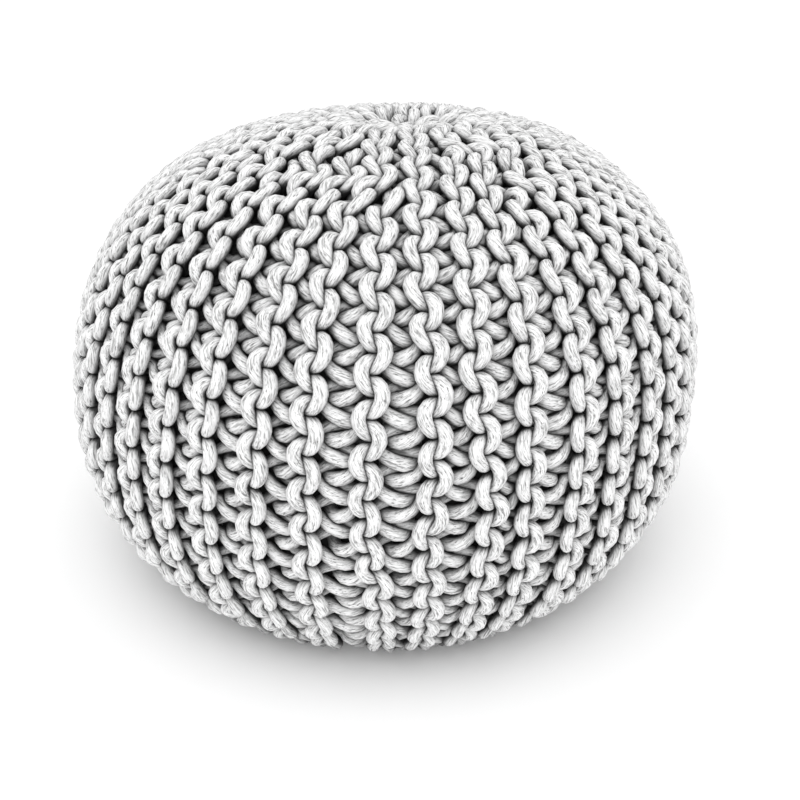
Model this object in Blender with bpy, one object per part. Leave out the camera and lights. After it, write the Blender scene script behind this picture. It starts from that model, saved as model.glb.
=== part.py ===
"""A round floor pouf: one filled body in a knitted cotton-cord cover.

The cover is knitted sideways in garter stitch, so its ridges run from the gathered
top to the gathered underside. The body is one solid: a flattened ball with a crown,
a small gathered dip at the top, raised ridges and the flat spot it rests on.
Metres, +Z up, origin at the middle of the flat spot.
"""

import math

import bmesh
import bpy
import numpy as np

# Overall sizes, over the ridges
WIDTH = 0.508
HEIGHT = 0.3556
WIDEST_HEIGHT = 0.128  # the floor to the widest ring

# Outline: how square each quarter of the superellipse is, 2 being an ellipse
CROWN_SQUARENESS = 2.49
BASE_SQUARENESS = 2.17
FLAT_CUT = 0.059  # how far the lower half would reach below the floor

# Gathered top
DIP_DEPTH = 0.0135
DIP_RADIUS = 0.030

# Knit ridges
RIDGE_COUNT = 44
FIRST_RIDGE_DEG = -2.75  # measured from -Y, towards +X
RIDGE_DEPTH = 0.009  # crest to valley at the widest ring
RIDGE_ROUNDNESS = 1.5  # above 1 the crests are wider than the valleys
FLAT_SPOT_RELIEF = 0.45  # share of the depth left at the floor
SETTLING_HEIGHT = 0.06  # below it the ridges start to flatten
CROWDING = 3.2  # the ridges have their full depth beyond WIDTH / CROWDING from the axis
POINTS_PER_RIDGE = 4
CROWN_RINGS = 13
BASE_RINGS = 7
GATHER_RADIUS = 0.017  # where the ridges run together
OUTLINE_SAMPLES = 400

CORD_COLOUR = (0.80, 0.80, 0.79, 1.0)
CORD_ROUGHNESS = 0.92


def clear_scene():
    for thing in list(bpy.data.objects):
        bpy.data.objects.remove(thing, do_unlink=True)


def crown():
    """Radius and height over the ridges' crests, from the top centre to the widest ring."""
    turn = np.linspace(0.0, math.pi / 2, OUTLINE_SAMPLES)
    radius = WIDTH / 2 * np.sin(turn) ** (2 / CROWN_SQUARENESS)
    height = (HEIGHT - WIDEST_HEIGHT) * np.cos(turn) ** (2 / CROWN_SQUARENESS)
    height -= DIP_DEPTH * np.exp(-((radius / DIP_RADIUS) ** 2))
    return radius, WIDEST_HEIGHT + height * (HEIGHT - WIDEST_HEIGHT) / height.max()


def base():
    """The same from the widest ring to the floor."""
    turn = np.linspace(0.0, math.pi / 2, OUTLINE_SAMPLES)
    radius = WIDTH / 2 * np.cos(turn) ** (2 / BASE_SQUARENESS)
    fall = (WIDEST_HEIGHT + FLAT_CUT) * np.sin(turn) ** (2 / BASE_SQUARENESS)
    above = fall < WIDEST_HEIGHT
    floor_radius = np.interp(WIDEST_HEIGHT, fall, radius)
    return (
        np.append(radius[above], floor_radius),
        np.append(WIDEST_HEIGHT - fall[above], 0.0),
    )


def evenly_spaced(outline, start_radius, count):
    """Rings along an outline: radius, height and the outward direction of each."""
    radius, height = outline
    length = np.append(0.0, np.cumsum(np.hypot(np.diff(radius), np.diff(height))))
    start = length[np.argmax(radius >= start_radius)]
    at = np.linspace(start, length[-1], count)
    outward_radius = -np.gradient(height, length)
    outward_height = np.gradient(radius, length)
    columns = (radius, height, outward_radius, outward_height)
    return [tuple(np.interp(s, length, column) for column in columns) for s in at]


def rings():
    upper = evenly_spaced(crown(), GATHER_RADIUS, CROWN_RINGS)
    lower = evenly_spaced(base(), 0.0, BASE_RINGS)
    return upper + lower[1:]


def valley(k):
    """How far point k of a ring lies between a crest, 0, and a valley, 1."""
    wave = 0.5 - 0.5 * math.cos(2 * math.pi * k / POINTS_PER_RIDGE)
    return wave**RIDGE_ROUNDNESS


def ridge_depth(radius, height):
    """Crest to valley depth: less where the ridges crowd together and at the floor."""
    crowding = min(1.0, CROWDING * radius / WIDTH)
    settled = min(1.0, height / SETTLING_HEIGHT)
    return RIDGE_DEPTH * crowding * (FLAT_SPOT_RELIEF + (1 - FLAT_SPOT_RELIEF) * settled)


def build_pouf():
    mesh = bmesh.new()
    around = RIDGE_COUNT * POINTS_PER_RIDGE
    first = math.radians(FIRST_RIDGE_DEG)
    loops = []
    for radius, height, out_radius, out_height in rings():
        depth = ridge_depth(radius, height)
        loop = []
        for k in range(around):
            sink = depth * valley(k)
            angle = first + 2 * math.pi * k / around
            r = radius - sink * out_radius
            z = height - sink * out_height if height > 0.0 else 0.0
            loop.append(mesh.verts.new((r * math.sin(angle), -r * math.cos(angle), z)))
        loops.append(loop)
    for upper, lower in zip(loops, loops[1:]):
        for k in range(around):
            after = (k + 1) % around
            mesh.faces.new((upper[k], lower[k], lower[after], upper[after]))
    close_top(mesh, loops[0])
    mesh.faces.new(loops[-1][::-1])
    bmesh.ops.recalc_face_normals(mesh, faces=mesh.faces)
    data = bpy.data.meshes.new("knitted_pouf")
    mesh.to_mesh(data)
    mesh.free()
    data.shade_smooth()
    pouf = bpy.data.objects.new("knitted_pouf", data)
    bpy.context.scene.collection.objects.link(pouf)
    pouf.data.materials.append(cord_material())


def close_top(mesh, loop):
    """Joins each ridge to one point of a small ring, and that ring to the centre."""
    radius, height = crown()
    inner_radius = GATHER_RADIUS / 2
    inner_height = np.interp(inner_radius, radius, height)
    first = math.radians(FIRST_RIDGE_DEG)
    ring = []
    for k in range(RIDGE_COUNT):
        angle = first + 2 * math.pi * k / RIDGE_COUNT
        ring.append(
            mesh.verts.new(
                (inner_radius * math.sin(angle), -inner_radius * math.cos(angle), inner_height)
            )
        )
    centre = mesh.verts.new((0.0, 0.0, height[0]))
    for k in range(RIDGE_COUNT):
        after = (k + 1) % RIDGE_COUNT
        edge = k * POINTS_PER_RIDGE
        points = [loop[(edge + i) % len(loop)] for i in range(POINTS_PER_RIDGE + 1)]
        half = POINTS_PER_RIDGE // 2
        for i in range(POINTS_PER_RIDGE):
            apex = ring[k] if i < half else ring[after]
            mesh.faces.new((apex, points[i], points[i + 1]))
        mesh.faces.new((ring[k], points[half], ring[after]))
        mesh.faces.new((centre, ring[k], ring[after]))


def cord_material():
    material = bpy.data.materials.new("cotton_cord")
    material.use_nodes = True
    shader = material.node_tree.nodes["Principled BSDF"]
    shader.inputs["Base Color"].default_value = CORD_COLOUR
    shader.inputs["Roughness"].default_value = CORD_ROUGHNESS
    shader.inputs["Metallic"].default_value = 0.0
    return material


clear_scene()
build_pouf()
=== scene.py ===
"""The looks of a round knitted pouf: every stitch of its cotton-cord cover as real cord.

The cover is garter stitch, knitted sideways. Each ridge that runs from the gathered
top to the gathered underside is two courses of cord. The heads of the knit course bulge
to the right of the ridge, and its legs reach left behind it. The purl course does the
opposite. A stitch of each is drawn once, in spacings across, rows down and cords out,
and laid along the pouf for every row. Then all the cords are pressed apart together,
so that they lie against each other. Metres, +Z up, as in the frame.
"""

import math

import bpy
import numpy as np
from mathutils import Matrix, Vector
from mathutils.kdtree import KDTree


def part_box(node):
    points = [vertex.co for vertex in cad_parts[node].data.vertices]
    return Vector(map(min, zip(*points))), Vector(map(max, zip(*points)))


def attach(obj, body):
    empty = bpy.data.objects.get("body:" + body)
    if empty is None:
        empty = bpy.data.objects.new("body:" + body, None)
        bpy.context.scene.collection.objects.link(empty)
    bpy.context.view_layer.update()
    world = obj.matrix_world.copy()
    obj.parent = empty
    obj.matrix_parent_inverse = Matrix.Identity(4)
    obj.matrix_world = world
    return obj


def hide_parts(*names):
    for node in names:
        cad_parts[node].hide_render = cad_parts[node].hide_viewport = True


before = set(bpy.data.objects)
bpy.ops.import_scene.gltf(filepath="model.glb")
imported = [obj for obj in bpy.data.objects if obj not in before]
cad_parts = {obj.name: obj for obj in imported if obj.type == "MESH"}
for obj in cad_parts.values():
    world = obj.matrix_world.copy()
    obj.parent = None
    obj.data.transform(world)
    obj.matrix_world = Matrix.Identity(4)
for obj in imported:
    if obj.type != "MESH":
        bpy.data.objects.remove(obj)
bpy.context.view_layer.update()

# The body's outline, over the crests of the ridges. Squareness 2 is an ellipse.
LOW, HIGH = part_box("knitted_pouf")
WIDEST = (HIGH[0] - LOW[0]) / 2
HEIGHT = HIGH[2]
WIDEST_HEIGHT = 0.128
CROWN_SQUARENESS = 2.39
BASE_SQUARENESS = 2.17
FLAT_CUT = 0.059  # how far the lower half would reach below the floor
DIP_DEPTH = 0.0095  # shallower than the solid's, as in the picture
DIP_RADIUS = 0.030
OUTLINE_SAMPLES = 1500
SOLE_SAMPLES = 400
OUTLINE_STEP = 0.001
CROWN_ROUNDING = 9  # outline steps over which the crown is smoothed
BASE_ROUNDING = 35
SIDE_ROUNDING = 25  # the same for its outward direction
LEAN = 0.005  # the crown leans this far towards +X
LEAN_HEIGHT = 0.15  # above the widest ring, where it reaches its full size
GATHER_SHIFT = 0.013  # the top's gather lies this much further still
GATHER_NEARER = 0.030  # and this much towards the front
GATHER_SHIFT_REACH = 0.12

# The knit
RIDGES = 44
FIRST_RIDGE = math.radians(5.43)  # from -Y towards +X
FULL_SPACING = 0.0363  # ridge to ridge at the widest ring
CORD = 0.0095  # diameter of the cord
PITCH = 0.0257  # one row of stitches along a ridge
ROW_PHASE = 0.10  # rows from the top's centre to row 0
GATHER_PULL = 0.37  # rows by which the first and last stitches are drawn together
GATHER_FADE = 1.5  # rows over which that fades

# There is no room for all the ridges at a gather. How many rows away from it they
# end: every fourth one, those halfway between these, and all the others.
LONG_ENDS = (2, 1)
MIDDLE_ENDS = (2, 3)
SHORT_ENDS = (4, 6, 5, 5)
END_FADE = 1.2  # rows over which a ridge that ends gives up its width
START_MARGIN = 1.0  # it has no width this many rows before its first stitch
STOP_MARGIN = 1.9  # and this many after its last
MOST_ENDED = 10  # no more ended ridges than this are passed over to find the next

# How far ridges sway from their even places, in spacings: (row, sway) pairs. The ones
# near the front are as in the picture, and the rest sway at random by SWAY.
SWAY = 0.06
SWAY_ROWS = 3
SEEN_SWAYS = {
    43: ((14, 0.0), (15, 0.09), (16, 0.25), (18, 0.30)),
    0: ((6, 0.0), (8, -0.10), (11, 0.13), (13, 0.18), (15, 0.08), (16, 0.18)),
    1: ((4, 0.0), (6, 0.20), (8, 0.0), (10, -0.16), (12, 0.0), (14, 0.25), (16, 0.13)),
}

# One stitch of each course: across in spacings, down in rows, out in cords, and how
# thick the soft cord is there, as it's squeezed where it hooks under its neighbour.
# The knit head's middle is at row 0, and depth 0 is the crest.
KNIT_STITCH = (
    (-0.25, -0.07, -0.95, 0.88),
    (-0.17, -0.22, -1.12, 0.80),
    (-0.11, -0.33, -0.98, 0.74),
    (-0.025, -0.37, -0.56, 0.76),
    (0.078, -0.32, -0.22, 0.84),
    (0.150, -0.21, -0.02, 0.90),
    (0.177, -0.06, 0.04, 0.93),
    (0.170, 0.07, 0.03, 0.92),
    (0.132, 0.19, -0.04, 0.88),
    (0.072, 0.30, -0.20, 0.81),
    (0.002, 0.38, -0.48, 0.72),
    (-0.06, 0.43, -0.86, 0.68),
    (-0.12, 0.45, -1.20, 0.70),
    (-0.18, 0.45, -1.38, 0.76),
    (-0.29, 0.45, -1.48, 0.85),
    (-0.41, 0.42, -1.55, 0.90),
    (-0.55, 0.36, -1.85, 0.88),
    (-0.68, 0.45, -2.3, 0.85),
    (-0.74, 0.7, -2.45, 0.85),
    (-0.73, 0.96, -2.3, 0.85),
    (-0.68, 1.1, -1.7, 0.90),
    (-0.56, 1.12, -1.15, 0.96),
    (-0.4, 1.055, -0.92, 0.96),
)
PURL_STITCH = (
    (0.26, 0.35, -0.95, 0.88),
    (0.18, 0.25, -1.12, 0.80),
    (0.11, 0.16, -0.98, 0.74),
    (0.025, 0.13, -0.56, 0.76),
    (-0.080, 0.17, -0.22, 0.84),
    (-0.152, 0.27, -0.02, 0.90),
    (-0.179, 0.39, 0.04, 0.93),
    (-0.165, 0.51, 0.03, 0.92),
    (-0.124, 0.63, -0.05, 0.88),
    (-0.064, 0.74, -0.22, 0.81),
    (0.004, 0.83, -0.50, 0.72),
    (0.06, 0.89, -0.86, 0.68),
    (0.12, 0.91, -1.20, 0.70),
    (0.18, 0.87, -1.38, 0.76),
    (0.29, 0.79, -1.48, 0.85),
    (0.43, 0.71, -1.55, 0.90),
    (0.6, 0.73, -1.85, 0.88),
    (0.74, 0.9, -2.3, 0.85),
    (0.8, 1.16, -2.45, 0.85),
    (0.8, 1.42, -2.3, 0.85),
    (0.76, 1.56, -1.7, 0.90),
    (0.66, 1.61, -1.15, 0.96),
    (0.47, 1.53, -0.92, 0.96),
)
POINTS_PER_STITCH = 24
FINE_STEP = 0.125  # of the way from one of the points above to the next
NARROWEST = 1e-4  # the least width that a ridge is given
HEAD_SHARE = 0.22  # within this share of a spacing the heads keep their size
WIDEST_HEAD = 0.35  # unless that is more than this share of what is left
SHALLOWEST = 0.45  # share of the legs' depth that is left where ridges crowd together
SETTLED_HEIGHT = 0.055  # below it the pouf's weight brings the legs nearer the heads
SETTLED_RISE = 0.8  # by this many cords
SETTLED_SHARE = 0.30  # beyond this share of a spacing
SETTLED_FADE = 0.12
CROWN_SWELL = 0.07  # the cord is slacker, and so this much thicker, towards the top
CROWN_SWELL_HEIGHT = 0.10
START_SKIP = 0.10  # the share of the first stitch that is left out
START_STITCH = 0.12  # the share over which it comes up from inside
END_STITCH = 0.5  # the share over which the last one goes down again
END_SINK = 2.0  # cords

# Handwork: how much stitches differ
SIZE_SPREAD = 0.08
ROW_SPREAD = 0.045
DEPTH_SPREAD = 0.05
LUMPINESS = 0.022
LUMP_RINGS = 6

# Pressing the cords apart: soft cords lie against each other at TOUCH, middle to middle
TOUCH = 0.80 * CORD
REACH = 1.25 * CORD  # pairs closer than this are watched
SAME_CORD = 4  # points between two of one cord that don't push each other
PRESS_ROUNDS = (30, 30)
PUSH = 0.32  # share of an overlap by which each of the two moves in a round
MOST_PUSH = 0.0015
STIFFNESS = 0.30  # how much a cord keeps its bends
STRETCH = 0.22  # how much it keeps its length
HOMING = 0.05  # how much it goes back to where it was laid
HIGHEST = 0.0003  # out from the heads' line
DEEPEST = 2.45 * CORD
FLOOR_GAP = 0.0004

# The cord's mesh: the distance between its rings, which follows how deep they lie
SIDES = 11
RING_DEPTHS = (0.8 * CORD, 1.2 * CORD, 1.9 * CORD, 2.3 * CORD)
RING_STEPS = (0.0036, 0.0052, 0.0060, 0.0104)

TINY = 1e-6  # keeps a division from zero
SEED = 11
rng = np.random.default_rng(SEED)


def smoothstep(x):
    x = np.clip(x, 0.0, 1.0)
    return x * x * (3 - 2 * x)


def lengths_along(points):
    """The distance along a line of points to each of them."""
    return np.append(0.0, np.cumsum(np.linalg.norm(np.diff(points, axis=0), axis=1)))


# ---------------------------------------------------------------- the body's form


def smoothed(values, width):
    """Values averaged over a window of this odd number of samples."""
    kernel = np.hanning(width + 2)[1:-1]
    padded = np.pad(values, width // 2, mode="edge")
    return np.convolve(padded, kernel / kernel.sum(), mode="valid")


def evenly(radius, height):
    """The same line with points one step apart."""
    along = lengths_along(np.stack([radius, height], 1))
    at = np.arange(0.0, along[-1], OUTLINE_STEP)
    return np.interp(at, along, radius), np.interp(at, along, height)


def outline():
    """Radius and height over the crests, from the top's centre to the floor's."""
    turn = np.linspace(0.0, math.pi / 2, OUTLINE_SAMPLES)
    radius = WIDEST * np.sin(turn) ** (2 / CROWN_SQUARENESS)
    rise = (HEIGHT - WIDEST_HEIGHT) * np.cos(turn) ** (2 / CROWN_SQUARENESS)
    rise -= DIP_DEPTH * np.exp(-((radius / DIP_RADIUS) ** 2))
    rise *= (HEIGHT - WIDEST_HEIGHT) / rise.max()
    low_radius = WIDEST * np.cos(turn) ** (2 / BASE_SQUARENESS)
    fall = (WIDEST_HEIGHT + FLAT_CUT) * np.sin(turn) ** (2 / BASE_SQUARENESS)
    above = fall < WIDEST_HEIGHT
    low_radius = low_radius[above][1:]
    fall = fall[above][1:]
    sole = np.linspace(low_radius[-1], 0.0, SOLE_SAMPLES)[1:]
    radius = np.concatenate([radius, low_radius, sole])
    height = np.concatenate([WIDEST_HEIGHT + rise, WIDEST_HEIGHT - fall, 0 * sole])
    return radius, height


def outward(radius, height, width):
    """The direction out of the body along its outline, smoothed over some samples."""
    out_r = smoothed(-np.gradient(height), width)
    out_z = smoothed(np.gradient(radius), width)
    size = np.hypot(out_r, out_z)
    return out_r / size, out_z / size


class Meridian:
    """The line that the heads' cords follow, from pole to pole, and its outward side."""

    def __init__(self):
        radius, height = evenly(*outline())
        out_r, out_z = outward(radius, height, 1)
        radius = np.maximum(radius - CORD / 2 * out_r, 0.0)
        height = np.maximum(height - CORD / 2 * out_z, CORD / 2)
        crown = smoothed(height, CROWN_ROUNDING)
        base = smoothed(height, BASE_ROUNDING)
        rounded = np.where(height > WIDEST_HEIGHT, crown, base)
        self.radius, self.height = evenly(radius, rounded)
        self.along = np.arange(len(self.radius)) * OUTLINE_STEP
        self.out_r, self.out_z = outward(self.radius, self.height, SIDE_ROUNDING)

    def at(self, along):
        """Place and outward side. Beyond a pole it goes on down the far side."""
        whole = self.along[-1]
        side = np.where((along < 0) | (along > whole), -1.0, 1.0)
        along = np.abs(along)
        along = np.where(along > whole, 2 * whole - along, along)
        radius = np.interp(along, self.along, self.radius)
        height = np.interp(along, self.along, self.height)
        out_r = np.interp(along, self.along, self.out_r)
        out_z = np.interp(along, self.along, self.out_z)
        return radius * side, height, out_r * side, out_z


def lean_over(points):
    """Moves the crown's middle to where the picture has the gather."""
    radius = np.hypot(points[:, 0], points[:, 1])
    upper = smoothstep((points[:, 2] - WIDEST_HEIGHT) / LEAN_HEIGHT)
    gather = upper * np.exp(-((radius / GATHER_SHIFT_REACH) ** 2))
    right = upper * LEAN + gather * GATHER_SHIFT
    return points + np.stack([right, -gather * GATHER_NEARER, 0 * right], 1)


MERIDIAN = Meridian()
LAST_ROW = math.floor(MERIDIAN.along[-1] / PITCH - ROW_PHASE)


def row_place(row):
    """The distance of a row along the meridian."""
    first = GATHER_PULL * np.exp(-np.maximum(row - 1, 0) / GATHER_FADE)
    last = GATHER_PULL * np.exp(-np.maximum(LAST_ROW - 1 - row, 0) / GATHER_FADE)
    return PITCH * (row + ROW_PHASE - first + last)


# ------------------------------------------------------------ where each ridge runs


def end_row(ridge, turn):
    """How many rows away from a gather a ridge ends. Each turn shifts the pattern."""
    if ridge % 4 == 0:
        return LONG_ENDS[(ridge // 4 + turn) % len(LONG_ENDS)]
    if ridge % 4 == 2:
        return MIDDLE_ENDS[(ridge // 4 + turn) % len(MIDDLE_ENDS)]
    return SHORT_ENDS[(ridge // 2 + turn) % len(SHORT_ENDS)]


# One ridge alone starts at the very top.
FIRST_ROWS = np.array([end_row(ridge, 0) if ridge else 0 for ridge in range(RIDGES)])
LAST_ROWS = LAST_ROW - np.array([end_row(ridge, 1) for ridge in range(RIDGES)])


def sway_of(ridge):
    """The rows and sways that a ridge goes through."""
    rows = np.arange(0, LAST_ROW + SWAY_ROWS, SWAY_ROWS)
    sways = rng.normal(0, SWAY, len(rows))
    if ridge in SEEN_SWAYS:
        return tuple(zip(*SEEN_SWAYS[ridge]))
    return rows, sways


SWAYS = [sway_of(ridge) for ridge in range(RIDGES)]


def ridge_places(row):
    """Each ridge's share of its full width and its angle at each row, in columns."""
    rows = row[:, None]
    starts = smoothstep((rows - FIRST_ROWS + START_MARGIN) / END_FADE)
    stops = smoothstep((LAST_ROWS + STOP_MARGIN - rows) / END_FADE)
    share = starts * stops
    step = 2 * math.pi / share.sum(1)[:, None]
    middle = np.cumsum(share, 1) - share / 2
    sway = np.stack([np.interp(row, *sways) for sways in SWAYS], 1)
    return share, FIRST_RIDGE + (middle - middle[:, :1] + sway) * step


def gap_beside(share, angle, ridge, side):
    """The angle to the next ridge on a side, passing over the ones that have ended."""
    gap = np.zeros(len(share))
    unmet = np.ones(len(share))
    for k in range(1, MOST_ENDED + 2):
        turns, other = divmod(ridge + side * k, RIDGES)
        met = unmet * share[:, other]
        gap += met * abs(angle[:, other] + 2 * math.pi * turns - angle[:, ridge])
        unmet -= met
    return gap / np.maximum(1 - unmet, TINY)


# -------------------------------------------------------------------- laying the cord


def spline(points, places):
    """A smooth line through points, read at places counted in points."""
    padded = np.concatenate([points[:1], points, points[-1:], points[-1:]])
    first = np.clip(np.floor(places).astype(int), 0, len(points) - 1)
    t = (places - first)[:, None]
    a, b, c, d = (padded[first + k] for k in range(4))
    curve = 2 * b + (c - a) * t
    curve += (2 * a - 5 * b + 4 * c - d) * t**2
    curve += (3 * b - a - 3 * c + d) * t**3
    return curve / 2


def row_of_stitches(stitch, count):
    """A stitch repeated as one smooth line, with even points."""
    scale = np.array([FULL_SPACING, PITCH, CORD, 1.0])
    stitch = np.array(stitch)
    points = np.concatenate([stitch + (0.0, k, 0.0, 0.0) for k in range(count)]) * scale
    fine = spline(points, np.arange(0, len(points) - 1, FINE_STEP))
    along = lengths_along(fine[:, :3])
    at = np.linspace(0.0, along[-1], POINTS_PER_STITCH * count)
    even = np.stack([np.interp(at, along, fine[:, k]) for k in range(4)], 1)
    return even / scale


def across_share(across, width):
    """Heads keep their size where ridges crowd together, and legs take what is left."""
    head = np.minimum(HEAD_SHARE * FULL_SPACING / width, WIDEST_HEAD)
    size = np.abs(across)
    near = size / HEAD_SHARE * head
    far = head + (size - HEAD_SHARE) / (0.5 - HEAD_SHARE) * (0.5 - head)
    size = np.where(size < HEAD_SHARE, near, np.where(size < 0.5, far, size))
    return np.sign(across) * size


def unevenness(count, spread, at):
    """A random amount for each stitch, passing evenly into the next one's."""
    return np.interp(at, np.arange(count) + 0.5, rng.normal(0, spread, count))


def lay_course(ridge, stitch):
    """One course of cord along its ridge: its points, and how thick it is at each."""
    count = LAST_ROWS[ridge] - FIRST_ROWS[ridge] + 1
    skip = round(START_SKIP * POINTS_PER_STITCH)
    line = row_of_stitches(stitch, count)[skip:]
    done = (np.arange(len(line)) + skip) / POINTS_PER_STITCH
    across = line[:, 0] * (1 + unevenness(count, SIZE_SPREAD, done))
    row = FIRST_ROWS[ridge] + line[:, 1] + unevenness(count, ROW_SPREAD, done)
    share, angles = ridge_places(row)
    left = gap_beside(share, angles, ridge, -1)
    right = gap_beside(share, angles, ridge, 1)
    radius, height, out_r, out_z = MERIDIAN.at(row_place(row))
    spacing = np.where(across < 0, left, right)
    width = np.maximum(spacing * abs(radius), NARROWEST)
    angle = angles[:, ridge] + spacing * across_share(across, width)
    shallow = np.clip(width / FULL_SPACING, SHALLOWEST, 1.0)
    out = np.where(line[:, 2] < -1, -1 + (line[:, 2] + 1) * shallow, line[:, 2])
    between = smoothstep((np.abs(across) - SETTLED_SHARE) / SETTLED_FADE)
    out += SETTLED_RISE * between * (1 - smoothstep(height / SETTLED_HEIGHT))
    out += unevenness(count, DEPTH_SPREAD, done)
    out -= END_SINK * (1 - smoothstep((done - START_SKIP) / START_STITCH))
    out -= END_SINK * (1 - smoothstep((count - done) / END_STITCH))
    radius = radius + CORD * out * out_r
    height = height + CORD * out * out_z
    points = np.stack([radius * np.sin(angle), -radius * np.cos(angle), height], 1)
    swell = CROWN_SWELL * smoothstep((height - WIDEST_HEIGHT) / CROWN_SWELL_HEIGHT)
    return points, line[:, 3] * (1 + swell)


def lay_all():
    """A knit and a purl course for each ridge, in turn: their points and thicknesses."""
    stitches = (KNIT_STITCH, PURL_STITCH)
    laid = [lay_course(ridge, stitch) for ridge in range(RIDGES) for stitch in stitches]
    return [points for points, _ in laid], [thick for _, thick in laid]


# ------------------------------------------------------------- pressing them apart


def depths_and_sides(points):
    """How far each point is out from the heads' line, and the outward direction there."""
    radius = np.hypot(points[:, 0], points[:, 1])
    flat = np.stack([MERIDIAN.radius, MERIDIAN.height, 0 * MERIDIAN.radius], 1)
    tree = tree_of(flat)
    near = np.array([tree.find((r, z, 0.0))[1] for r, z in zip(radius, points[:, 2])])
    out_r = MERIDIAN.out_r[near]
    out_z = MERIDIAN.out_z[near]
    depth = (radius - MERIDIAN.radius[near]) * out_r
    depth += (points[:, 2] - MERIDIAN.height[near]) * out_z
    unit = points[:, :2] / np.maximum(radius, TINY)[:, None]
    return depth, np.stack([unit[:, 0] * out_r, unit[:, 1] * out_r, out_z], 1)


def tree_of(points):
    tree = KDTree(len(points))
    for k, point in enumerate(points):
        tree.insert(point, k)
    tree.balance()
    return tree


class Stretches:
    """Points along all the courses, each with its course and its place along it."""

    def __init__(self, courses, places):
        self.points = np.concatenate([spline(c, p) for c, p in zip(courses, places)])
        self.course = np.repeat(np.arange(len(courses)), [len(p) for p in places])
        self.places = places
        self.place = np.concatenate(places)
        self.ends = np.cumsum([len(p) for p in places])[:-1]

    def read(self, values):
        """What the courses' own values are at these places."""
        pairs = zip(self.places, values)
        return np.concatenate([np.interp(p, np.arange(len(v)), v) for p, v in pairs])

    def near(self, other, reach, apart):
        """Pairs with another set within reach that aren't neighbours along one cord."""
        tree = tree_of(other.points)
        first, second = [], []
        for k, point in enumerate(self.points):
            found = [entry[1] for entry in tree.find_range(point, reach)]
            first += [k] * len(found)
            second += found
        first = np.array(first)
        second = np.array(second)
        far = abs(self.place[first] - other.place[second]) > apart
        keep = far | (self.course[first] != other.course[second])
        return first[keep], second[keep]


def every(courses, step):
    return Stretches(courses, [np.arange(0, len(c) - 1 + 1e-9, step) for c in courses])


def add_up(index, values, size):
    return np.stack([np.bincount(index, values[:, k], size) for k in range(3)], 1)


def push_apart(points, first, second, touch):
    """The moves that bring overlapping points towards touching."""
    gap = points[second] - points[first]
    length = np.linalg.norm(gap, axis=1)
    hit = length < touch
    share = PUSH * (touch[hit] - length[hit]) / np.maximum(length[hit], TINY)
    push = gap[hit] * share[:, None]
    size = len(points)
    move = add_up(second[hit], push, size) - add_up(first[hit], push, size)
    return np.clip(move, -MOST_PUSH, MOST_PUSH)


def press_apart(courses, thick):
    """Moves the cords until they touch rather than overlap, near where they were laid."""
    points = np.concatenate(courses)
    thick = np.concatenate(thick)
    size = len(points)
    course = np.repeat(np.arange(len(courses)), [len(c) for c in courses])
    edges = np.cumsum([len(c) for c in courses])[:-1]
    joined = np.flatnonzero(course[1:] == course[:-1])
    inner = joined[1:][np.diff(joined) == 1]
    rest = np.linalg.norm(points[joined + 1] - points[joined], axis=1)
    rest = (rest + np.median(rest)) / 2
    start = points.copy()
    for rounds in PRESS_ROUNDS:
        whole = every(np.split(points, edges), 1)
        first, second = whole.near(whole, REACH, SAME_CORD)
        once = first < second
        first = first[once]
        second = second[once]
        before_depth, out = depths_and_sides(points)
        before = points.copy()
        touch = TOUCH * (thick[first] + thick[second]) / 2
        for _ in range(rounds):
            points += push_apart(points, first, second, touch)
            moved = points - start
            middle = (moved[inner - 1] + moved[inner + 1]) / 2
            points[inner] += STIFFNESS * (middle - moved[inner])
            step = points[joined + 1] - points[joined]
            length = np.linalg.norm(step, axis=1)
            pull = step * (STRETCH * (length - rest) / np.maximum(length, TINY))[:, None]
            points += add_up(joined, pull, size) - add_up(joined + 1, pull, size)
            points += HOMING * (start - points)
            depth = before_depth + ((points - before) * out).sum(1)
            back = np.maximum(depth - HIGHEST, 0.0) + np.minimum(depth + DEEPEST, 0.0)
            points -= out * back[:, None] / 2
    points[:, 2] = np.maximum(points[:, 2], FLOOR_GAP + CORD / 2 * (1 + LUMPINESS) * thick)
    return np.split(points, edges)


# ------------------------------------------------------------------------ the meshes

RING_START = (0.3, 0.5, 0.8)  # any direction that no cord starts in
# Painted shade in the cords' colour: the light attribute darkens each point of the skin by how
# much other cords, the body behind, its depth and the floor would shade it.
SHADE_REACH = 2.4 * CORD  # cords nearer than this take light from a point
SHADE_STEP = 2  # points of a course
SHADE_APART = 3  # as far as this along a cord, it doesn't shade itself
SHADE_STRENGTH = 1.6
INWARD_LIGHT = 0.55  # share of the light on a side that faces into the body
FACING_SHIFT = 0.3  # added to how far a side faces outwards, from -1 to 1
CREST_LIGHT = 1.35  # the light at the crest, which is cut at 1
DEPTH_SHADE = 0.30  # taken from it for each cord of depth
DEEPEST_LIGHT = 0.05
FLOOR_SHADE = 0.12  # share of the light that the floor leaves right above it
FLOOR_SHADE_HEIGHT = 0.055
# Painted shade in the creases: the skin darkens where another cord lies near it. How far and how
# finely other cords are looked for.
CREASE_REACH = 1.4 * CORD
CREASE_STEP = 0.5
CREASE_APART = 2.6  # the same for the creases between cords
CREASE_RANGE = (-0.5, 0.5)
TWIST = 55.0  # radians by which the fibres turn round each metre of cord
FIBRE_LENGTH = 0.0050
FIBRE_WIDTH = 0.0011
FIBRE_SHIFT = 50  # each cord has another part of the fibres' pattern
STRIPS = 16  # side by side across the bake map
STRIP_MARGIN = 0.03
STRIP_BOTTOM = 0.03
STRIP_HEIGHT = 0.96
CAP_HEIGHT = 0.012  # the middles of the end caps
CAP_RADIUS = 0.01
INSIDE_DEPTH = 2.1 * CORD  # below the heads' line
INSIDE_SIDES = 72
INSIDE_RINGS = 64
INSIDE_POLE_GAP = 0.002
INSIDE_NARROWEST = 0.0005


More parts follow.
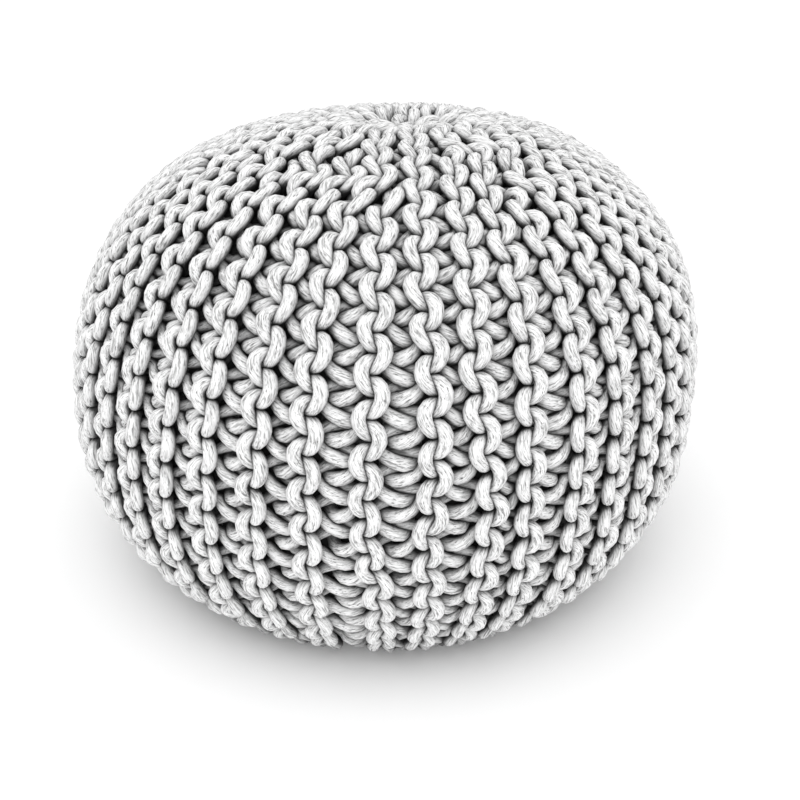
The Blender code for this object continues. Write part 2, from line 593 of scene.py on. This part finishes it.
def ring_places(points, depth):
    """Where the rings of a course's mesh go, closer together where they show."""
    wanted = np.interp(-depth, RING_DEPTHS, RING_STEPS)
    steps = np.linalg.norm(np.diff(points, axis=0), axis=1)
    rings = np.append(0.0, np.cumsum(2 * steps / (wanted[1:] + wanted[:-1])))
    at = np.linspace(0.0, rings[-1], round(rings[-1]) + 1)
    return np.interp(at, rings, np.arange(len(points)))


def ring_normals(line):
    """The directions of the points of each ring, seen from the line."""
    tangent = np.gradient(line, axis=0)
    tangent /= np.linalg.norm(tangent, axis=1)[:, None]
    normal = np.zeros_like(line)
    normal[0] = np.cross(tangent[0], RING_START)
    normal[0] /= np.linalg.norm(normal[0])
    for k in range(1, len(line)):
        across = normal[k - 1] - tangent[k] * (normal[k - 1] @ tangent[k])
        normal[k] = across / np.linalg.norm(across)
    side = np.cross(tangent, normal)
    turn = np.arange(SIDES)[None, :, None] * 2 * math.pi / SIDES
    return normal[:, None] * np.cos(turn) + side[:, None] * np.sin(turn)


def shades(courses, rings, normals, widths, thick, depth, out):
    """For each point of the cords' skin, how much light reaches it and how far the nearest other
    cord is, in cords. Both are painted into the cord's colour as shade."""
    size = len(rings.points)
    wide = every(courses, SHADE_STEP)
    length = SHADE_STEP * np.median(np.linalg.norm(np.diff(courses[0], axis=0), axis=1))
    wide_first, wide_second = rings.near(wide, SHADE_REACH, SHADE_APART)
    fine = every(courses, CREASE_STEP)
    fine_first, fine_second = rings.near(fine, CREASE_REACH, CREASE_APART)
    fine_radius = CORD / 2 * fine.read(widths)
    light = np.zeros((size, SIDES))
    crease_shade = np.full((size, SIDES), CREASE_RANGE[1])
    for side in range(SIDES):
        skin = rings.points + normals[:, side] * (CORD / 2 * thick)[:, None]
        gap = wide.points[wide_second] - skin[wide_first]
        distance = np.maximum(np.linalg.norm(gap, axis=1), CORD / 2)
        facing = np.maximum((gap * normals[wide_first, side]).sum(1), 0) / distance
        blocked = CORD * length * facing / distance**2 / math.pi
        light[:, side] = np.exp(-SHADE_STRENGTH * np.bincount(wide_first, blocked, size))
        gap = np.linalg.norm(fine.points[fine_second] - skin[fine_first], axis=1)
        gap -= fine_radius[fine_second]
        np.minimum.at(crease_shade[:, side], fine_first, gap / CORD)
    facing = np.einsum("ijk,ik->ij", normals, out)
    light *= INWARD_LIGHT + (1 - INWARD_LIGHT) * np.clip(facing + FACING_SHIFT, 0, 1)
    light *= np.clip(CREST_LIGHT + DEPTH_SHADE * depth / CORD, DEEPEST_LIGHT, 1.0)[:, None]
    floor_light = smoothstep(rings.points[:, 2] / FLOOR_SHADE_HEIGHT)
    light *= (FLOOR_SHADE + (1 - FLOOR_SHADE) * floor_light)[:, None]
    return light, np.clip(crease_shade, *CREASE_RANGE)


def quads_between(count, first):
    """The faces between the rings of a tube, by the number of each point."""
    ring = first + np.arange(count - 1)[:, None] * SIDES
    side = np.arange(SIDES)
    after = (side + 1) % SIDES
    quads = np.stack([ring + side, ring + after, ring + SIDES + after, ring + SIDES + side], -1)
    return quads.reshape(-1, 4)


def bake_map(bands, caps):
    """Lays the bands of faces between rings out in strips, and the end caps below."""
    per_strip = math.ceil(bands / STRIPS)
    strip, up = np.divmod(np.arange(bands), per_strip)
    side = np.arange(SIDES)
    left = STRIP_MARGIN + side / SIDES * (1 - 2 * STRIP_MARGIN)
    right = STRIP_MARGIN + (side + 1) / SIDES * (1 - 2 * STRIP_MARGIN)
    across = np.stack([left, right, right, left], -1)
    across = (strip[:, None, None] + across) / STRIPS
    along = (up[:, None, None] + np.array([0, 0, 1, 1]) + 0 * side[:, None]) / per_strip
    quads = np.stack([across, STRIP_BOTTOM + STRIP_HEIGHT * along], -1).reshape(-1, 2)
    turn = side * 2 * math.pi / SIDES
    middles = (np.arange(caps)[:, None] + 0.5) / caps
    across = middles + CAP_RADIUS * np.cos(turn)
    along = CAP_HEIGHT + CAP_RADIUS * np.sin(turn) + 0 * middles
    return np.concatenate([quads, np.stack([across, along], -1).reshape(-1, 2)])


def add_attribute(mesh, name, kind, field, values):
    attribute = mesh.attributes.new(name, kind, "POINT")
    attribute.data.foreach_set(field, values.astype(np.float32).ravel())


def tube(line, normals, thick):
    """The skin points of a cord and the fibre coordinates on it."""
    knots = np.arange(0, len(line) + LUMP_RINGS, LUMP_RINGS)
    lumps = rng.normal(0, LUMPINESS, len(knots)).clip(-2 * LUMPINESS, LUMPINESS)
    radius = CORD / 2 * thick * (1 + np.interp(np.arange(len(line)), knots, lumps))
    skin = line[:, None] + normals * radius[:, None, None]
    along = lengths_along(line)[:, None]
    turn = np.arange(SIDES) * 2 * math.pi / SIDES + TWIST * along
    across = CORD / 2 / FIBRE_WIDTH
    fibre = [along / FIBRE_LENGTH + 0 * turn, across * np.cos(turn), across * np.sin(turn)]
    fibre = np.stack(fibre, -1) + rng.uniform(0, FIBRE_SHIFT, 3)
    return skin.reshape(-1, 3), fibre.reshape(-1, 3)


def knit_piece(name, tubes, material):
    """One mesh of some courses: for each, line, normals, thickness, and the light and crease
    values that are painted into its colour as shade.
    """
    skins, fibres, quads, caps = [], [], [], []
    first = 0
    for line, normals, thick, _, _ in tubes:
        skin, fibre = tube(line, normals, thick)
        skins.append(skin)
        fibres.append(fibre)
        quads.append(quads_between(len(line), first))
        caps.append(np.arange(first, first + SIDES)[::-1])
        first += len(skin)
        caps.append(np.arange(first - SIDES, first))
    quads = np.concatenate(quads)
    corners = np.concatenate([quads.ravel(), *caps]).astype(np.int32)
    sizes = np.concatenate([np.full(len(quads), 4), np.full(len(caps), SIDES)])
    starts = np.append(0, np.cumsum(sizes)[:-1]).astype(np.int32)
    mesh = bpy.data.meshes.new(name)
    mesh.vertices.add(first)
    mesh.vertices.foreach_set("co", np.concatenate(skins).astype(np.float32).ravel())
    mesh.loops.add(len(corners))
    mesh.loops.foreach_set("vertex_index", corners)
    mesh.polygons.add(len(sizes))
    mesh.polygons.foreach_set("loop_start", starts)
    mesh.polygons.foreach_set("use_smooth", np.ones(len(sizes), bool))
    mesh.update(calc_edges=True)
    spread = bake_map(len(quads) // SIDES, len(caps)).astype(np.float32)
    mesh.uv_layers.new(name="OFBake").uv.foreach_set("vector", spread.ravel())
    light = np.concatenate([entry[3].ravel() for entry in tubes])
    crease_shade = np.concatenate([entry[4].ravel() for entry in tubes])
    add_attribute(mesh, "fibre", "FLOAT_VECTOR", "vector", np.concatenate(fibres))
    add_attribute(mesh, "light", "FLOAT", "value", light)
    add_attribute(mesh, "crease_shade", "FLOAT", "value", crease_shade - CREASE_RANGE[0])
    mesh.materials.append(material)
    piece = bpy.data.objects.new(name, mesh)
    bpy.context.scene.collection.objects.link(piece)
    return piece


def filled_inside(material):
    """The filling's body, which shows between the cords. Its near-black colour is partly the
    filling's dark cover and partly painted shade for the gaps.
    """
    around = INSIDE_SIDES
    whole = MERIDIAN.along[-1]
    along = np.linspace(INSIDE_POLE_GAP, whole - INSIDE_POLE_GAP, INSIDE_RINGS)
    radius, height, out_r, out_z = MERIDIAN.at(along)
    radius = np.maximum(radius - INSIDE_DEPTH * out_r, INSIDE_NARROWEST)[:, None]
    height = (height - INSIDE_DEPTH * out_z)[:, None]
    turn = np.arange(around) * 2 * math.pi / around
    points = np.stack([radius * np.sin(turn), -radius * np.cos(turn), height + 0 * turn], -1)
    points = lean_over(points.reshape(-1, 3))
    faces = [tuple(range(around)), tuple(range(len(points) - around, len(points)))[::-1]]
    for ring in range(0, len(points) - around, around):
        for k in range(around):
            after = (k + 1) % around
            faces.append((ring + k, ring + around + k, ring + around + after, ring + after))
    mesh = bpy.data.meshes.new("filled_inside")
    mesh.from_pydata(points.tolist(), [], faces)
    mesh.shade_smooth()
    mesh.materials.append(material)
    piece = bpy.data.objects.new("filled_inside", mesh)
    bpy.context.scene.collection.objects.link(piece)
    return piece


# --------------------------------------------------------------------- the materials


def new_material(name, roughness):
    material = bpy.data.materials.new(name)
    material.use_nodes = True
    shader = material.node_tree.nodes["Principled BSDF"]
    shader.inputs["Roughness"].default_value = roughness
    return material, material.node_tree.nodes, material.node_tree.links, shader


def noise(nodes, links, vector, scale, detail, distortion=0.0):
    node = nodes.new("ShaderNodeTexNoise")
    node.inputs["Distortion"].default_value = distortion
    node.inputs["Scale"].default_value = scale
    node.inputs["Detail"].default_value = detail
    links.new(vector, node.inputs["Vector"])
    return node.outputs["Fac"]


def attribute(nodes, name, output):
    node = nodes.new("ShaderNodeAttribute")
    node.attribute_name = name
    return node.outputs[output]


def greys(nodes, links, value, stops):
    """A ramp of greys over a value."""
    node = nodes.new("ShaderNodeValToRGB")
    elements = node.color_ramp.elements
    while len(elements) < len(stops):
        elements.new(0.5)
    for element, (position, grey) in zip(elements, stops):
        element.position = position
        element.color = (grey, grey, grey, 1)
    links.new(value, node.inputs["Fac"])
    return node.outputs["Color"]


def multiply(nodes, links, one, other):
    node = nodes.new("ShaderNodeMix")
    node.data_type = "RGBA"
    node.blend_type = "MULTIPLY"
    node.inputs["Factor"].default_value = 1.0
    links.new(one, node.inputs["A"])
    links.new(other, node.inputs["B"])
    return node.outputs["Result"]


# Noise in the cord: scale, detail and distortion. A ramp is (position, grey) pairs.
STRANDS = (1.0, 2.0, 0.5)
FLECKS = (1.9, 1.0, 0.0)
STRAND_GREYS = ((0.31, 0.26), (0.44, 0.62), (0.56, 0.83))
FLECK_GREYS = ((0.28, 0.20), (0.36, 1.0))
# Painted shade: the greys that the light and crease attributes multiply into the cord's colour.
LIGHT_GREYS = ((0.04, 0.03), (0.12, 0.23), (0.24, 0.58), (0.42, 0.86), (0.64, 0.96), (0.88, 1.0))
CREASE_SHADE_GREYS = ((0.47, 0.02), (0.56, 0.34), (0.66, 0.78), (0.82, 0.97), (0.95, 1.0))
CORD_ROUGHNESS = 0.9
STRAND_RELIEF = 0.0006
RELIEF_STRENGTH = 0.5
SPECKLE_DETAIL = 3.0
SPECKLE_RANGE = (0.35, 0.65)


def cord_material():
    material, nodes, links, shader = new_material("cotton_cord", CORD_ROUGHNESS)
    fibre = attribute(nodes, "fibre", "Vector")
    strands = noise(nodes, links, fibre, *STRANDS)
    flecks = noise(nodes, links, fibre, *FLECKS)
    colour = greys(nodes, links, strands, STRAND_GREYS)
    # The flecks are the cord's own colour. The light and crease layers are painted shade.
    layers = (
        (flecks, FLECK_GREYS),
        (attribute(nodes, "light", "Fac"), LIGHT_GREYS),
        (attribute(nodes, "crease_shade", "Fac"), CREASE_SHADE_GREYS),
    )
    for value, stops in layers:
        colour = multiply(nodes, links, colour, greys(nodes, links, value, stops))
    links.new(colour, shader.inputs["Base Color"])
    bump = nodes.new("ShaderNodeBump")
    bump.inputs["Strength"].default_value = RELIEF_STRENGTH
    bump.inputs["Distance"].default_value = STRAND_RELIEF
    links.new(strands, bump.inputs["Height"])
    links.new(bump.outputs["Normal"], shader.inputs["Normal"])
    return material


def speckled_material(name, scale, dark, pale, roughness):
    """A grey that varies a little from place to place."""
    material, nodes, links, shader = new_material(name, roughness)
    place = nodes.new("ShaderNodeTexCoord").outputs["Object"]
    value = noise(nodes, links, place, scale, SPECKLE_DETAIL)
    colour = greys(nodes, links, value, tuple(zip(SPECKLE_RANGE, (dark, pale))))
    links.new(colour, shader.inputs["Base Color"])
    return material


# ------------------------------------------------------------- the floor and the light

FLOOR_SIDE = 80.0
FLOOR_LOOK = {"scale": 2.0, "dark": 0.94, "pale": 0.95, "roughness": 0.8}
# The filling's dark cover, made near-black so that it also stands in as painted shade in the
# gaps between the cords.
INSIDE_LOOK = {"scale": 40.0, "dark": 0.012, "pale": 0.03, "roughness": 1.0}
WORLD_STRENGTH = 0.62
# The lamps: name, strength, spread and the direction in which each shines
LAMPS = (
    ("key", 1.35, math.radians(50), (0.04, 0.32, -1.0)),
    ("fill", 1.15, math.radians(40), (0.05, 1.0, -0.40)),
)
CAMERA_DISTANCE = 0.762
CAMERA_ELEVATION = math.radians(25.3)
CAMERA_AIM = (0.0, 0.0, WIDEST_HEIGHT)
LENS_PIXELS = 879.0  # the focal length, in the picture's pixels
PICTURE = 800
AIM_PIXEL = (383.0, 380.0)  # where the picture has the point that the camera aims at
SENSOR = 36.0


def lay_floor():
    half = FLOOR_SIDE / 2
    corners = [(-half, -half, 0), (half, -half, 0), (half, half, 0), (-half, half, 0)]
    mesh = bpy.data.meshes.new("floor")
    mesh.from_pydata(corners, [], [(0, 1, 2, 3)])
    mesh.materials.append(speckled_material("pale_floor", **FLOOR_LOOK))
    piece = bpy.data.objects.new("floor", mesh)
    bpy.context.scene.collection.objects.link(piece)


def light_room():
    world = bpy.data.worlds.new("studio")
    world.use_nodes = True
    world.node_tree.nodes["Background"].inputs["Color"].default_value = (1, 1, 1, 1)
    world.node_tree.nodes["Background"].inputs["Strength"].default_value = WORLD_STRENGTH
    bpy.context.scene.world = world
    for name, strength, spread, direction in LAMPS:
        sun = bpy.data.lights.new(name, "SUN")
        sun.energy = strength
        sun.angle = spread
        lamp = bpy.data.objects.new(name, sun)
        lamp.rotation_euler = Vector(direction).to_track_quat("-Z", "Y").to_euler()
        bpy.context.scene.collection.objects.link(lamp)
    bpy.context.scene.view_settings.view_transform = "Standard"


def place_camera():
    data = bpy.data.cameras.new("camera")
    data.sensor_width = SENSOR
    data.lens = LENS_PIXELS / PICTURE * SENSOR
    data.shift_x = (PICTURE / 2 - AIM_PIXEL[0]) / PICTURE
    data.shift_y = (AIM_PIXEL[1] - PICTURE / 2) / PICTURE
    eye = bpy.data.objects.new("camera", data)
    back = Vector((0, -math.cos(CAMERA_ELEVATION), math.sin(CAMERA_ELEVATION)))
    eye.location = Vector(CAMERA_AIM) + back * CAMERA_DISTANCE
    eye.rotation_euler = (-back).to_track_quat("-Z", "Y").to_euler()
    bpy.context.scene.collection.objects.link(eye)
    bpy.context.scene.camera = eye


# -------------------------------------------------------------------------- the whole


def dress(piece):
    """The cover and the filling are one soft body, which stands for the solid."""
    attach(piece, "root")
    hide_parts("knitted_pouf")


def knit_cover():
    """Each piece is two ridges on opposite sides, so that all are about the same size."""
    laid, widths = lay_all()
    courses = press_apart(laid, widths)
    laid_depth, _ = depths_and_sides(np.concatenate(courses))
    depths = np.split(laid_depth, np.cumsum([len(c) for c in courses])[:-1])
    places = [ring_places(c, d) for c, d in zip(courses, depths)]
    rings = Stretches(courses, places)
    depth, out = depths_and_sides(rings.points)
    thick = rings.read(widths)
    normals = np.concatenate([ring_normals(line) for line in np.split(rings.points, rings.ends)])
    light, crease_shade = shades(courses, rings, normals, widths, thick, depth, out)
    columns = (lean_over(rings.points), normals, thick, light, crease_shade)
    tubes = list(zip(*(np.split(column, rings.ends) for column in columns)))
    material = cord_material()
    half = RIDGES // 2
    for ridge in range(half):
        picks = (2 * ridge, 2 * ridge + 1, 2 * (ridge + half), 2 * (ridge + half) + 1)
        piece = knit_piece(f"knit_{ridge + 1:02d}", [tubes[k] for k in picks], material)
        dress(piece)


knit_cover()
dress(filled_inside(speckled_material("filling_painted_shade", **INSIDE_LOOK)))
lay_floor()
light_room()
place_camera()
